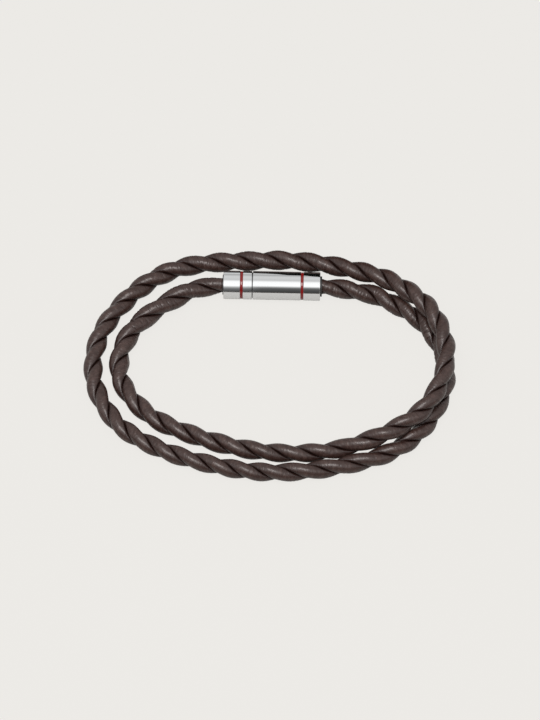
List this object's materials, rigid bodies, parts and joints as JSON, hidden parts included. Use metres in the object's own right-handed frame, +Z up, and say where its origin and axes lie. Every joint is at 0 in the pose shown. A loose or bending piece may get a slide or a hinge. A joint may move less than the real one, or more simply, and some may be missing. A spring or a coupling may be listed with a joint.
{
  "type": "twisted leather bracelet",
  "caption": "Double-wrap bracelet of twisted dark brown leather strands, closed by a polished steel barrel clasp with thin red enamel rings.",
  "frame": {"origin": "middle of the bracelet's outline seen from above, on the plane it lies on", "axes": "+X along the clasp and the loop's long way, +Y to the back, where the clasp lies, +Z up"},
  "size_m": [0.0811, 0.0588, 0.0088],
  "materials": {
    "brown_leather": "smooth finished leather, soft sheen",
    "polished_steel": "polished stainless steel",
    "plain_steel": "plain turned steel",
    "red_enamel": "glossy red enamel",
    "black_collar": "matt black"
  },
  "bodies": {
    "root": {"leather_strand_1": "brown_leather", "leather_strand_2": "brown_leather", "clasp_barrel": "polished_steel", "clasp_cap": "polished_steel", "clasp_pin": "plain_steel", "enamel_ring_barrel": "red_enamel", "enamel_ring_cap": "red_enamel", "collar_barrel": "black_collar", "collar_cap": "black_collar"}
  },
  "joints": []
}
